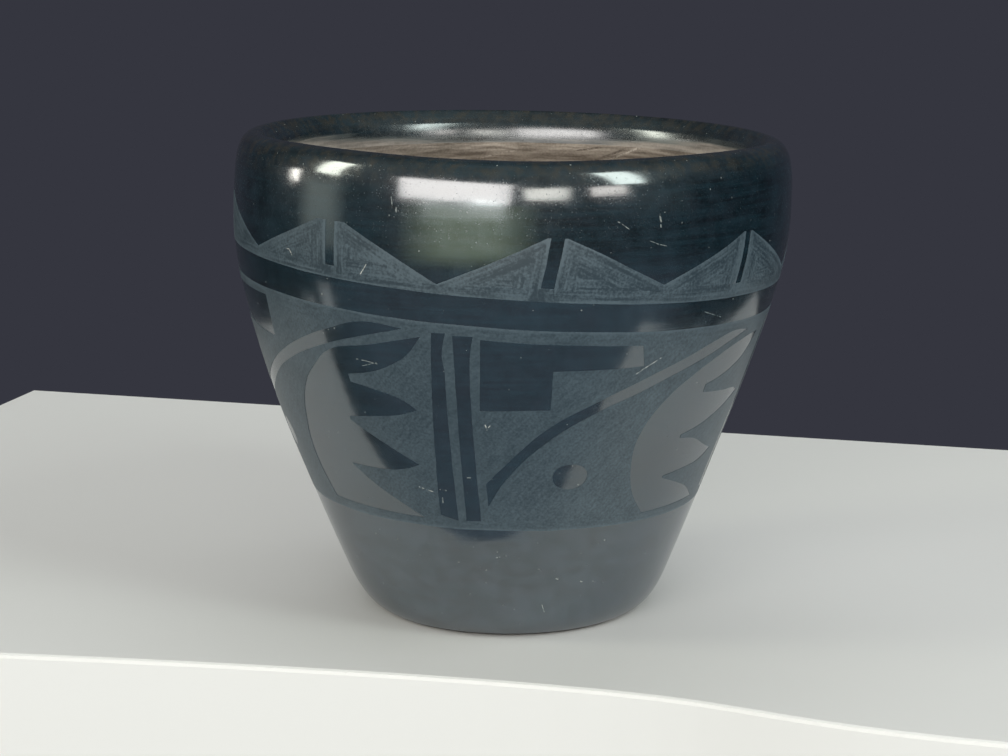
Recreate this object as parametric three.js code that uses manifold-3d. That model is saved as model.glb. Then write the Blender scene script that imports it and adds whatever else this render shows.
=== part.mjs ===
// A coil-built blackware jar: pressed base, wall coils, rim coil, burnished slip and painted matte slip.
// Millimetres and degrees, +Z up, standing on Z = 0, with the front of the painting towards -Y.
import * as THREE from 'three';
import { mergeVertices } from 'three/addons/utils/BufferGeometryUtils.js';
import Module from 'manifold-3d';

// Finished outline of the jar
const HEIGHT = 170;
const FOOT_RADIUS = 45;
const HEEL_RADIUS = 57.9;
const HEEL_HEIGHT = 15;
const SHOULDER_RADIUS = 98.3;
const SHOULDER_DROP = 23.8;
const LIP_INSET = 8.5;
const LIP_ROLL = 5.2;
const INNER_BAND = 12;

// How the outline swells between those places, as shares of the rise or spread of each stretch
const BELLY_OUT = 1.04;
const BELLY_UP = 0.776;
const SHOULDER_HOLD = 0.095;
const LIP_HOLD = 0.75;
const LIP_TURN = 0.82;
const ROLL_TURN = 0.35;
const ROLL_HOLD = 0.45;
const NECK_HOLD = 0.45;

// Clay of the wall, its courses and their bevelled lap joints
const WALL = 7;
const FLOOR = 9;
const BASIN_ROUND = 8;
const BASE_EDGE = 26;
const RIM_SEAM_DROP = 20;
const COIL_COUNT = 6;
const LAP = 8;
const JOINT_GAP = 0.3;

// Slip layers, drawn thicker than brushed slip so that they are solids
const COAT = 0.6;
const MATTE = 0.4;
const LAYER_GAP = 0.3;
const FOOT_BARE = 0.35;

// Heights of the painted bands, measured down from the shoulder and up from the foot
const PEAK_RISE = 1;
const MOUNTAIN_HEIGHT = 15.6;
const MOUNTAIN_SKIRT = 3.4;
const STRIPE_HEIGHT = 10.6;
const PANEL_FOOT = 44.2;

// Hand-painted lean: how far each level drops from the front to the right side
const LEAN_AT_FOOT = 1.3;
const LEAN_AT_STRIPE = 7;
const LEAN_AT_PEAK = 4.4;

// Repeats of the painting, in degrees from the front towards +X
const PANEL_COUNT = 4;
const PANEL_START = -17;
const MOUNTAIN_COUNT = 8;
const MOUNTAIN_START = 7.5;
const PEAK_WIDTH = 6.4;
const SLIT_WIDTH = 2.4;
const SLIT_LEAN = 1.4;

// Fineness of the solids
const SEGMENTS = 40;
const FOOT_STEPS = 3;
const WALL_STEPS = 6;
const LIP_STEPS = 4;
const ROLL_STEPS = 3;
const COIL_STEPS = 2;
const BASIN_STEPS = 2;
const PANEL_ROWS = 5;
const MOUNTAIN_ROWS = 2;
const SPLINE_STEPS = 2;
const DOT_SIDES = 10;
const LONGEST_EDGE = 10.8;
const CUT_REACH = 10;
const HALVINGS = 48;

// Reach of the cuts above the peaks, as a share of the mountain's height, and degrees in a turn
const ABOVE_PEAK = 1.3;
const FULL_TURN = 360;

const wasm = await Module();
wasm.setup();

const clay = new THREE.MeshStandardMaterial({ color: '#84796f', roughness: 0.9, metalness: 0 });
const burnish = new THREE.MeshStandardMaterial({ color: '#14191c', roughness: 0.2, metalness: 0 });
const matteSlip = new THREE.MeshStandardMaterial({ color: '#3b4349', roughness: 0.8, metalness: 0 });

const jar = new THREE.Group();

function addPiece(name, geometry, material) {
  const mesh = new THREE.Mesh(geometry, material.clone());
  mesh.name = name;
  jar.add(mesh);
}

// Outline curves: foot round, flaring wall, shoulder and lip, and the roll into the mouth
const shoulderHeight = HEIGHT - SHOULDER_DROP;
const foot = new THREE.Vector2(FOOT_RADIUS, 0);
const heel = new THREE.Vector2(HEEL_RADIUS, HEEL_HEIGHT);
const shoulder = new THREE.Vector2(SHOULDER_RADIUS, shoulderHeight);
const crest = new THREE.Vector2(SHOULDER_RADIUS - LIP_INSET, HEIGHT);
const throat = new THREE.Vector2(crest.x - LIP_ROLL, HEIGHT - INNER_BAND);

const wallRise = shoulder.y - heel.y;
const belly = new THREE.Vector2(
  heel.x + BELLY_OUT * (shoulder.x - heel.x),
  heel.y + BELLY_UP * wallRise,
);
const wallLean = (belly.x - heel.x) / (belly.y - heel.y);

const footCurve = new THREE.QuadraticBezierCurve(
  foot,
  new THREE.Vector2(heel.x - wallLean * heel.y, 0),
  heel,
);
const wallCurve = new THREE.CubicBezierCurve(
  heel,
  belly,
  new THREE.Vector2(shoulder.x, shoulder.y - SHOULDER_HOLD * wallRise),
  shoulder,
);
const lipCurve = new THREE.CubicBezierCurve(
  shoulder,
  new THREE.Vector2(shoulder.x, shoulder.y + LIP_HOLD * SHOULDER_DROP),
  new THREE.Vector2(crest.x + LIP_TURN * LIP_INSET, crest.y),
  crest,
);
const rollCurve = new THREE.CubicBezierCurve(
  crest,
  new THREE.Vector2(crest.x - ROLL_TURN * LIP_ROLL, crest.y),
  new THREE.Vector2(throat.x, throat.y + ROLL_HOLD * INNER_BAND),
  throat,
);
const outside = [footCurve, wallCurve, lipCurve];

// A point of a curve, moved square to it into the clay; a negative depth stands proud of the wall
function inset(curve, share, depth) {
  const tangent = curve.getTangent(share);
  const point = curve.getPoint(share);
  return new THREE.Vector2(point.x - tangent.y * depth, point.y + tangent.x * depth);
}

// A stretch of a curve as points at one depth
function stretch(curve, from, to, steps, depth) {
  const points = [];
  for (let i = 0; i <= steps; i += 1) {
    points.push(inset(curve, from + ((to - from) * i) / steps, depth));
  }
  return points;
}

// The share of a rising curve at which its inset line reaches a height
function shareAt(curve, height, depth) {
  let low = 0;
  let high = 1;
  for (let halving = 0; halving < HALVINGS; halving += 1) {
    const middle = (low + high) / 2;
    if (inset(curve, middle, depth).y < height) low = middle;
    else high = middle;
  }
  return low;
}

// Radius of the outline, at a depth, at a height
function outerRadius(height, depth) {
  const curve = outside.find((part) => inset(part, 1, depth).y >= height) ?? lipCurve;
  return inset(curve, shareAt(curve, height, depth), depth).x;
}

// Inside of the wall: parallel to the outside up to the shoulder, then in to the throat
const coatDepth = COAT + LAYER_GAP;
const innerShoulder = inset(wallCurve, 1, WALL);
const innerThroat = inset(rollCurve, 1, coatDepth);
const neckHold = NECK_HOLD * (innerThroat.y - innerShoulder.y);
const neckCurve = new THREE.CubicBezierCurve(
  innerShoulder,
  new THREE.Vector2(innerShoulder.x, innerShoulder.y + neckHold),
  new THREE.Vector2(innerThroat.x, innerThroat.y - neckHold),
  innerThroat,
);

function innerRadius(height) {
  if (height <= innerShoulder.y) return outerRadius(height, WALL);
  return inset(neckCurve, shareAt(neckCurve, height, 0), 0).x;
}

// Points at even heights on a face whose radius is known by height
function face(radiusAt, low, high, steps) {
  const points = [];
  for (let i = 0; i <= steps; i += 1) {
    const height = low + ((high - low) * i) / steps;
    points.push(new THREE.Vector2(radiusAt(height), height));
  }
  return points;
}

const coreRadius = (height) => outerRadius(height, coatDepth);

function revolve(section) {
  const ring = new THREE.LatheGeometry(section, SEGMENTS);
  ring.rotateX(Math.PI / 2);
  return ring;
}

function closed(section) {
  return [...section, section[0]];
}

// Seams: each course laps inside the one below, so a seam is high outside and low inside
const rimSeam = HEIGHT - RIM_SEAM_DROP;
const courseHeight = (rimSeam - BASE_EDGE) / COIL_COUNT;
const seamGap = JOINT_GAP * Math.hypot(1, LAP / WALL);
const seamOutside = (seam) => seam + LAP / 2;
const seamInside = (seam) => seam - LAP / 2;

function buildBase() {
  const basinTop = FLOOR + BASIN_ROUND;
  const basinRadius = innerRadius(basinTop);
  const basin = new THREE.QuadraticBezierCurve(
    new THREE.Vector2(basinRadius, basinTop),
    new THREE.Vector2(basinRadius - wallLean * BASIN_ROUND, FLOOR),
    new THREE.Vector2(basinRadius - wallLean * BASIN_ROUND - BASIN_ROUND, FLOOR),
  );
  const heelInset = inset(footCurve, 1, coatDepth);
  const inside = face(innerRadius, basinTop, seamInside(BASE_EDGE) - seamGap, 1).reverse();
  const section = [
    new THREE.Vector2(0, 0),
    foot,
    ...stretch(footCurve, 0, 1, FOOT_STEPS, coatDepth).slice(0, -1),
    ...face(coreRadius, heelInset.y, seamOutside(BASE_EDGE) - seamGap, COIL_STEPS),
    ...inside.slice(0, -1),
    ...basin.getPoints(BASIN_STEPS),
    new THREE.Vector2(0, FLOOR),
  ];
  addPiece('base_slab', revolve(section), clay);
}

function buildCoils() {
  for (let course = 0; course < COIL_COUNT; course += 1) {
    const low = BASE_EDGE + course * courseHeight;
    const high = low + courseHeight - seamGap;
    const section = [
      ...face(coreRadius, seamOutside(low), seamOutside(high), COIL_STEPS),
      ...face(innerRadius, seamInside(low), seamInside(high), COIL_STEPS).reverse(),
    ];
    addPiece(`wall_coil_${course + 1}`, revolve(closed(section)), clay);
  }
}

function buildRim() {
  const lipStart = shareAt(lipCurve, seamOutside(rimSeam), coatDepth);
  const section = [
    ...stretch(lipCurve, lipStart, 1, LIP_STEPS, coatDepth),
    ...stretch(rollCurve, 0, 1, ROLL_STEPS, coatDepth).slice(1),
    ...face(innerRadius, seamInside(rimSeam), innerThroat.y, COIL_STEPS).reverse().slice(1),
  ];
  addPiece('rim_coil', revolve(closed(section)), clay);
}

// The burnished coat starts just above the resting face and ends inside the mouth
function coatLine(depth) {
  return [
    ...stretch(footCurve, FOOT_BARE, 1, FOOT_STEPS, depth),
    ...stretch(wallCurve, 0, 1, WALL_STEPS, depth).slice(1),
    ...stretch(lipCurve, 0, 1, LIP_STEPS, depth).slice(1),
    ...stretch(rollCurve, 0, 1, ROLL_STEPS, depth).slice(1),
  ];
}

function buildCoat() {
  const section = [...coatLine(0), ...coatLine(COAT).reverse()];
  addPiece('burnished_slip_coat', revolve(closed(section)), burnish);
}

// Painted levels, from the peaks down to the foot line
const peak = shoulderHeight + PEAK_RISE;
const valley = peak - MOUNTAIN_HEIGHT;
const stripeTop = valley - MOUNTAIN_SKIRT;
const panelTop = stripeTop - STRIPE_HEIGHT;

function leanAt(height) {
  if (height < stripeTop) {
    return THREE.MathUtils.mapLinear(height, PANEL_FOOT, stripeTop, LEAN_AT_FOOT, LEAN_AT_STRIPE);
  }
  return THREE.MathUtils.mapLinear(height, stripeTop, peak, LEAN_AT_STRIPE, LEAN_AT_PEAK);
}

function paintedHeight(angle, height) {
  return height - leanAt(height) * Math.sin(angle);
}

// A place on the wall, standing off it by some distance; the angle runs from the front towards +X
function onWall(angle, height, proud) {
  const level = paintedHeight(angle, height);
  const radius = outerRadius(level, -proud);
  return new THREE.Vector3(radius * Math.sin(angle), -radius * Math.cos(angle), level);
}

// A ring of slip on the wall between two painted levels
function slipRing(low, high, rows) {
  const near = face((height) => outerRadius(height, -LAYER_GAP), low, high, rows);
  const far = face((height) => outerRadius(height, -LAYER_GAP - MATTE), low, high, rows);
  const ring = revolve(closed([...far, ...near.reverse()]));
  const position = ring.getAttribute('position');
  const middle = LAYER_GAP + MATTE / 2;
  for (let i = 0; i < position.count; i += 1) {
    const x = position.getX(i);
    const y = position.getY(i);
    const height = position.getZ(i);
    const isFar = Math.hypot(x, y) > outerRadius(height, -middle);
    const spot = onWall(Math.atan2(x, -y), height, isFar ? LAYER_GAP + MATTE : LAYER_GAP);
    position.setXYZ(i, spot.x, spot.y, spot.z);
  }
  return ring;
}

function solid(geometry) {
  const bare = geometry.clone();
  bare.deleteAttribute('normal');
  bare.deleteAttribute('uv');
  const merged = mergeVertices(bare);
  const vertProperties = new Float32Array(merged.getAttribute('position').array);
  const triVerts = new Uint32Array(merged.getIndex().array);
  return new wasm.Manifold(new wasm.Mesh({ numProp: 3, vertProperties, triVerts }));
}

function cutGeometry(body, cutters) {
  const cut = cutters.reduce((rest, cutter) => rest.subtract(cutter), body);
  const mesh = cut.getMesh();
  const geometry = new THREE.BufferGeometry();
  geometry.setAttribute('position', new THREE.BufferAttribute(mesh.vertProperties, 3));
  geometry.setIndex(new THREE.BufferAttribute(mesh.triVerts, 1));
  geometry.computeVertexNormals();
  return geometry;
}

// Long edges get extra points, so that a cut follows the round wall
function shortEdges(outline) {
  return outline.flatMap((point, i) => {
    const next = outline[(i + 1) % outline.length];
    const count = Math.max(1, Math.ceil(Math.abs(next.x - point.x) / LONGEST_EDGE));
    return Array.from({ length: count }, (_, k) => point.clone().lerp(next, k / count));
  });
}

// An outline in degrees and heights becomes a wedge that passes square through the wall
function wedge(outline) {
  const shape = new THREE.Shape(shortEdges(outline));
  const prism = new THREE.ExtrudeGeometry(shape, { depth: 1, bevelEnabled: false });
  const position = prism.getAttribute('position');
  for (let i = 0; i < position.count; i += 1) {
    const angle = THREE.MathUtils.degToRad(position.getX(i));
    const spot = onWall(angle, position.getY(i), position.getZ(i) > 0 ? CUT_REACH : -CUT_REACH);
    position.setXYZ(i, spot.x, spot.y, spot.z);
  }
  return solid(prism);
}

const points = (...pairs) => pairs.map(([x, y]) => new THREE.Vector2(x, y));

// Figures of one panel, in shares of its width and height
const leftBar = points([0.026, 0.955], [-0.017, 0.065], [0.038, 0.044], [0.057, 0.955]);
const rightBar = points([0.081, 0.95], [0.061, 0.044], [0.101, 0.044], [0.119, 0.95]);
const stepBlock = points(
  [0.132, 0.933], [0.131, 0.62], [0.295, 0.62], [0.295, 0.82], [0.515, 0.82], [0.505, 0.933],
);

function rainbowStripe() {
  const stripe = new THREE.Shape();
  stripe.moveTo(0.13, 0.249);
  stripe.lineTo(0.13, 0.134);
  stripe.splineThru(points([0.189, 0.269], [0.3, 0.472], [0.522, 0.678], [0.744, 0.85], [0.91, 0.95]));
  stripe.splineThru(points(
    [0.8, 0.942], [0.633, 0.83], [0.411, 0.635], [0.3, 0.542], [0.189, 0.354], [0.13, 0.249],
  ));
  return stripe.getPoints(SPLINE_STEPS);
}

function dot() {
  const [centre, radii] = points([0.362, 0.28], [0.05, 0.067]);
  const round = new THREE.Shape();
  round.absellipse(centre.x, centre.y, radii.x, radii.y, 0, 2 * Math.PI);
  return round.getPoints(DOT_SIDES);
}

// The fan has leaf-shaped feathers on its right, drawn from the foot up, and a bowed spine on its left
function featherFan() {
  const [footTip, ...tips] = points([0.926, 0.042], [0.935, 0.304], [0.965, 0.586], [0.97, 0.915]);
  const notches = points([0.7, 0.24], [0.73, 0.46], [0.765, 0.68]);
  const leafBow = 0.025;
  const fan = new THREE.Shape();
  fan.moveTo(footTip.x, footTip.y);
  tips.forEach((tip, leaf) => {
    const notch = notches[leaf];
    const top = fan.currentPoint.clone().lerp(notch, 1 / 2);
    const bottom = notch.clone().lerp(tip, 1 / 2);
    fan.quadraticCurveTo(top.x, top.y + leafBow, notch.x, notch.y);
    fan.quadraticCurveTo(bottom.x, bottom.y - leafBow, tip.x, tip.y);
  });
  fan.splineThru(points([0.744, 0.812], [0.62, 0.635], [0.552, 0.42], [0.55, 0.22], [0.6, footTip.y]));
  return fan.getPoints(SPLINE_STEPS);
}

function buildPanels() {
  const width = FULL_TURN / PANEL_COUNT;
  const figures = [leftBar, rightBar, stepBlock, rainbowStripe(), dot(), featherFan()];
  const cutters = [];
  for (let panel = 0; panel < PANEL_COUNT; panel += 1) {
    const place = ({ x, y }) => new THREE.Vector2(
      PANEL_START + width * (panel + x),
      PANEL_FOOT + (panelTop - PANEL_FOOT) * y,
    );
    cutters.push(...figures.map((figure) => wedge(figure.map(place))));
  }
  const ring = solid(slipRing(PANEL_FOOT, panelTop, PANEL_ROWS));
  addPiece('matte_slip_panels', cutGeometry(ring, cutters), matteSlip);
}

// Mountains: the open sky between two peaks is cut away, and a slit parts each mountain
function buildMountains() {
  const width = FULL_TURN / MOUNTAIN_COUNT;
  const east = PEAK_WIDTH / 2;
  const west = width - east;
  const half = SLIT_WIDTH / 2;
  const sky = points([east, ABOVE_PEAK], [east, 1], [width / 2, 0], [west, 1], [west, ABOVE_PEAK]);
  const slit = points(
    [-half, ABOVE_PEAK], [-half - SLIT_LEAN, 0], [half - SLIT_LEAN, 0], [half, ABOVE_PEAK],
  );
  const cutters = [];
  for (let mountain = 0; mountain < MOUNTAIN_COUNT; mountain += 1) {
    const place = ({ x, y }) => new THREE.Vector2(
      MOUNTAIN_START + width * mountain + x,
      valley + MOUNTAIN_HEIGHT * y,
    );
    cutters.push(wedge(sky.map(place)), wedge(slit.map(place)));
  }
  const ring = solid(slipRing(stripeTop, peak, MOUNTAIN_ROWS));
  addPiece('matte_slip_mountains', cutGeometry(ring, cutters), matteSlip);
}

buildBase();
buildCoils();
buildRim();
buildCoat();
buildMountains();
buildPanels();

export default jar;
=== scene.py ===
"""Looks of a hand-built black-on-black jar: clay courses, a burnished coat and two painted matte slips."""

import math

import bmesh
import bpy
import numpy as np
from mathutils import Matrix, Vector, noise
from mathutils.geometry import interpolate_bezier


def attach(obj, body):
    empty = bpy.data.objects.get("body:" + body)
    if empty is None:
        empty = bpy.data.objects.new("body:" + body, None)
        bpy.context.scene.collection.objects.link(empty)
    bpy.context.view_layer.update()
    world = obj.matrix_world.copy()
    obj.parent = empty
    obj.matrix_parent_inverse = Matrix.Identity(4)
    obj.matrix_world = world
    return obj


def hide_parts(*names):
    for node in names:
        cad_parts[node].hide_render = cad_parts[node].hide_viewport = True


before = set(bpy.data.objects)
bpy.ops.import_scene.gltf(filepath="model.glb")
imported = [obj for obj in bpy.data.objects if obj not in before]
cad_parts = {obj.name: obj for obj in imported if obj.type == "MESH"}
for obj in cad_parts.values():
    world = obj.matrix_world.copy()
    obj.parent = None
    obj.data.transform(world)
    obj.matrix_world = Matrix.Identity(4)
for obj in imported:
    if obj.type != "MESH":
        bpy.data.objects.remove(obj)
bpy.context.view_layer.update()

# Millimetres are used for all modelling, and each finished piece is scaled to metres once
MM = 0.001
FULL_TURN = 360.0

# Outline of the jar, with points as (radius, height)
HEIGHT = 170.0
FOOT_RADIUS = 45.0
HEEL = (58.4, 15.0)
SHOULDER = (98.3, 146.2)
CREST_RADIUS = 89.8
BEND = (85.5, 165.5)
THROAT = (84.2, 158.0)
THROAT_LEDGE = 0.15
FLOOR_THICKNESS = 9.0
WALL_THICKNESS = 7.0
COAT_THICKNESS = 0.6

# How the wall and the lip curve: the reach of each handle as a share of the run that it belongs to.
# At two thirds of the way to one point, two handles make a single bend.
ONE_BEND = 2 / 3
BELLY_OUT = 1.04
BELLY_UP = 0.776
UNDER_SHOULDER = 0.095
OVER_SHOULDER = 0.75
CREST_ROUND = 0.82
NECK_ROUND = 0.45

# How the inner side of the lip and the basin curve: the reach of each handle in millimetres
CREST_HANDLE = 0.9
ABOVE_BEND = (1.36, 1.8)
BELOW_BEND = (0.45, 0.6)
ABOVE_THROAT = (0.05, 4.4)
BASIN_ROUND = 8.0
BASIN_REACH = 13.0
BASIN_UPPER = (2.2, 2.0)
BASIN_LOWER = 5.5

# Courses of clay: the first seam, the last seam, the coils between and how far each laps the one below
BASE_EDGE = 26.0
RIM_SEAM = 150.0
COIL_COUNT = 6
LAP = 8.0

# What the potter's hands left out of true
LEAN_AT_FLOOR = 0.45
LEAN_GROWTH = 0.007
LEAN_WAVE = 110.0
RIM_TILT = 0.018
RIM_TILT_FROM = 148.0
RIM_LIFT = 0.9
SWELL = 0.22
SWELL_SIZE = 48.0
SWELL_FLATTER = 1.6

# Where the burnish ends inside the mouth: low at the back and front, higher at the two sides
EDGE_AT_BACK = 158.0
EDGE_RISE = 6.0
EDGE_CURVE = 2.3
MOST_RISE = 4.6
MOUTH_MARGIN = 1.5
NO_EDGE = -20.0

# How much the bare clay is darkened: up from the resting face as a painted contact shadow,
# and across the mouth below the burnish as a smoke stain with painted shade, stronger at the sides
PAINTED_FOOT_SHADOW = ((2.0, 5.0), (1.0, 0.0))
SMOKE_AND_SHADE_REACH = 10.0
SMOKE_AND_SHADE_ACROSS = ((-60.0, -30.0, -5.0, 25.0, 50.0, 80.0), (0.66, 0.5, 0.1, 0.07, 0.36, 0.53))

# Painted levels, and how far the painting leans at each of them
PEAK_LEVEL = 147.2
BAND_FOOT = 126.8
PANEL_TOP = 117.2
PANEL_FOOT = 44.2
LEAN_AT_PEAK = 4.4
LEAN_AT_BAND = 7.0
LEAN_AT_FOOT = 1.3
LIFT_AT_SIDES = 1.3
PANEL_WIDTH = 90.0
FIRST_PANEL = -107.0
SLIP_BURIED = 0.06
SLIP_PROUD = 0.10

# How the painter's hand wavers: millimetres up, degrees aside, and how close the waves are
WAVER_UP = 0.22
WAVER_ASIDE = 0.12
WAVER_RADIUS = 6.0
WAVER_HEIGHT = 12.0
ASIDE_QUICKER = 2.2

# Brush strokes in the panels: their slant, how far below the panels the line that they are measured
# from starts, and how many times shorter they are than those in the mountains
STROKE_SLANT = (0.7, 0.714)
SLANT_FROM = 400.0
PANEL_STROKES = 4.0
MOUNTAIN_STROKES = 1.0

# Fineness of the meshes: steps in a sector, along the curves and up the walls, outside before inside,
# then the radii of flat rings, and the columns, rows and curves of the painting
SECTOR_STEPS = 10
DOUBLINGS = 5
FOOT_STEPS = 20
BASIN_STEPS = 8
SLAB_STEPS = (14, 4)
COIL_STEPS = (10, 12)
RIM_STEPS = (40, 16, 14)
COAT_STEPS = (110, 34, 26)
COAT_BACK_STEPS = (24, 12, 12)
FOOT_RINGS = (0.0, 16.0, 32.0)
BASIN_RINGS = (24.0, 12.0, 0.0)
COLUMN_STEP = 3.0
ROW_STEP = 4.0
CURVE_STEPS = 5

# The step of the foot's curve at which the coat starts
COAT_FROM = 6

# Steps of the curves that a radius is read from
READ_FOOT_STEPS = 40
READ_WALL_STEPS = 300
READ_LIP_STEPS = 80
READ_NECK_STEPS = 40

# Points this close are merged, and faces this close to the ends of a turn are taken off there
MERGE_GAP = 0.001
TURN_GAP = 0.01

# Edges sharper than this many degrees show
SHARP_ANGLE = 40.0

# The least gap between two rings of the rim coil, where its lip starts and where its inner side does
RIM_START_GAP = 0.2
RIM_END_GAP = 0.02


# Outline

def along(start, first, second, end, steps):
    """Points of a curve that has two handles between its ends."""
    return [tuple(spot)[:2] for spot in interpolate_bezier(start, first, second, end, steps + 1)]


def foot_run(steps):
    """From the flat foot round the heel, where it meets the wall without a kink."""
    wall_lean = BELLY_OUT * (SHOULDER[0] - HEEL[0]) / (BELLY_UP * (SHOULDER[1] - HEEL[1]))
    turn = Vector((HEEL[0] - wall_lean * HEEL[1], 0.0))
    start = Vector((FOOT_RADIUS, 0.0))
    end = Vector(HEEL)
    return along(start, start.lerp(turn, ONE_BEND), end.lerp(turn, ONE_BEND), end, steps)


def wall_run(steps):
    """From the heel up the flaring wall to the widest part of the shoulder."""
    rise = SHOULDER[1] - HEEL[1]
    belly = Vector((HEEL[0] + BELLY_OUT * (SHOULDER[0] - HEEL[0]), HEEL[1] + BELLY_UP * rise))
    under = Vector((SHOULDER[0], SHOULDER[1] - UNDER_SHOULDER * rise))
    return along(Vector(HEEL), belly, under, Vector(SHOULDER), steps)


def lip_run(steps):
    """From the shoulder inwards to the crest of the lip."""
    rise = HEIGHT - SHOULDER[1]
    over = Vector((SHOULDER[0], SHOULDER[1] + OVER_SHOULDER * rise))
    turn = Vector((CREST_RADIUS + CREST_ROUND * (SHOULDER[0] - CREST_RADIUS), HEIGHT))
    return along(Vector(SHOULDER), over, turn, Vector((CREST_RADIUS, HEIGHT)), steps)


def roll_run(steps):
    """The inner side of the lip: a slope down from the crest, a tight bend and an upright band."""
    slope = along(
        Vector((CREST_RADIUS, HEIGHT)),
        Vector((CREST_RADIUS - CREST_HANDLE, HEIGHT)),
        Vector((BEND[0] + ABOVE_BEND[0], BEND[1] + ABOVE_BEND[1])),
        Vector(BEND),
        steps // 2,
    )
    band = along(
        Vector(BEND),
        Vector((BEND[0] - BELOW_BEND[0], BEND[1] - BELOW_BEND[1])),
        Vector((THROAT[0] + ABOVE_THROAT[0], THROAT[1] + ABOVE_THROAT[1])),
        Vector(THROAT),
        steps - steps // 2,
    )
    return slope + band[1:]


def inset(line, depth):
    """A line of (radius, height) points, moved square to itself into the clay."""
    line = np.array(line)
    run = np.gradient(line, axis=0)
    run /= np.linalg.norm(run, axis=1)[:, None]
    return line + depth * np.stack([-run[:, 1], run[:, 0]], axis=1)


def rising(line, height):
    """Radius of a rising line at a height."""
    return float(np.interp(height, line[:, 1], line[:, 0]))


def upright(line, low, high, steps):
    """Points of a rising line between two heights."""
    return [(rising(line, height), height) for height in np.linspace(low, high, steps + 1)]


RISING_OUTSIDE = np.array(
    foot_run(READ_FOOT_STEPS) + wall_run(READ_WALL_STEPS)[1:] + lip_run(READ_LIP_STEPS)[1:]
)
RISING_CORE = inset(RISING_OUTSIDE, COAT_THICKNESS)
INNER_SHOULDER = (SHOULDER[0] - WALL_THICKNESS, SHOULDER[1])
INNER_THROAT = (THROAT[0] + THROAT_LEDGE, THROAT[1])
NECK_HANDLE = NECK_ROUND * (INNER_THROAT[1] - INNER_SHOULDER[1])
NECK = along(
    Vector(INNER_SHOULDER),
    Vector((INNER_SHOULDER[0], INNER_SHOULDER[1] + NECK_HANDLE)),
    Vector((INNER_THROAT[0], INNER_THROAT[1] - NECK_HANDLE)),
    Vector(INNER_THROAT),
    READ_NECK_STEPS,
)
RISING_INSIDE = np.array(list(inset(wall_run(READ_WALL_STEPS), WALL_THICKNESS)) + NECK[1:])


# Hand shaping

def leaning(height):
    """How far the axis of the jar wanders sideways at a height."""
    return -(LEAN_AT_FLOOR + LEAN_GROWTH * height) * math.sin(math.pi * height / LEAN_WAVE)


def hand_shaped(spot):
    """Moves a point of the true round jar to where the potter's hands left it."""
    x, y, z = spot
    share = min(max((z - RIM_TILT_FROM) / (HEIGHT - RIM_TILT_FROM), 0.0), 1.0)
    near_rim = share * share * (3 - 2 * share)
    rest = min(z / HEEL[1], 1.0)
    swell = SWELL * rest * noise.noise(Vector((x, y, SWELL_FLATTER * z)) / SWELL_SIZE)
    reach = max(math.hypot(x, y), 1.0)
    front = min(y, 0.0)
    rise = RIM_LIFT * (2 * x * front / reach ** 2) ** 2 - RIM_TILT * x
    return Vector((x + leaning(z) + swell * x / reach, y + swell * y / reach, z + near_rim * rise))


def verts_in(geometry):
    """The vertices among what a bmesh operator hands back."""
    return [item for item in geometry if isinstance(item, bmesh.types.BMVert)]


def lathe(section, whole):
    """Spins a section of (radius, height) points into a closed body; a whole section joins its own ends.

    One sector is spun and then doubled round the axis, which is much quicker than one long spin.
    """
    bm = bmesh.new()
    ring = [bm.verts.new((0.0, -radius, height)) for radius, height in section]
    ends = ring[1:] + ring[:1] if whole else ring[1:]
    edges = [bm.edges.new(pair) for pair in zip(ring, ends)]
    sector = math.tau / 2 ** DOUBLINGS
    bmesh.ops.spin(bm, geom=ring + edges, cent=(0, 0, 0), axis=(0, 0, 1), angle=sector, steps=SECTOR_STEPS)
    for doubling in range(DOUBLINGS):
        more = bmesh.ops.duplicate(bm, geom=bm.verts[:] + bm.edges[:] + bm.faces[:])["geom"]
        bmesh.ops.rotate(
            bm,
            cent=(0, 0, 0),
            matrix=Matrix.Rotation(sector * 2 ** doubling, 3, "Z"),
            verts=verts_in(more),
        )
    bmesh.ops.remove_doubles(bm, verts=bm.verts, dist=MERGE_GAP)
    bmesh.ops.recalc_face_normals(bm, faces=bm.faces)
    for vert in bm.verts:
        vert.co = hand_shaped(vert.co)
    return bm


def make_piece(bm, node, finish):
    """Turns a body in millimetres into a piece that stands for one CAD node."""
    bmesh.ops.scale(bm, vec=(MM, MM, MM), verts=bm.verts)
    mesh = bpy.data.meshes.new(node + "_shape")
    bm.to_mesh(mesh)
    bm.free()
    mesh.shade_smooth()
    mesh.set_sharp_from_angle(angle=math.radians(SHARP_ANGLE))
    mesh.materials.append(finish)
    piece = bpy.data.objects.new(node + "_shape", mesh)
    bpy.context.scene.collection.objects.link(piece)
    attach(piece, "root")
    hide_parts(node)


# Edge of the burnish

def below_edge(spot):
    """How far a point in the mouth lies below the uneven edge of the burnish, in millimetres."""
    x, y, z = spot
    if z < RIM_SEAM or math.hypot(x - leaning(z), y) > BEND[0] + MOUTH_MARGIN:
        return NO_EDGE
    edge = EDGE_AT_BACK + min(EDGE_RISE * (abs(x) / THROAT[0]) ** EDGE_CURVE, MOST_RISE)
    return hand_shaped((x, y, edge)).z - z


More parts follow.
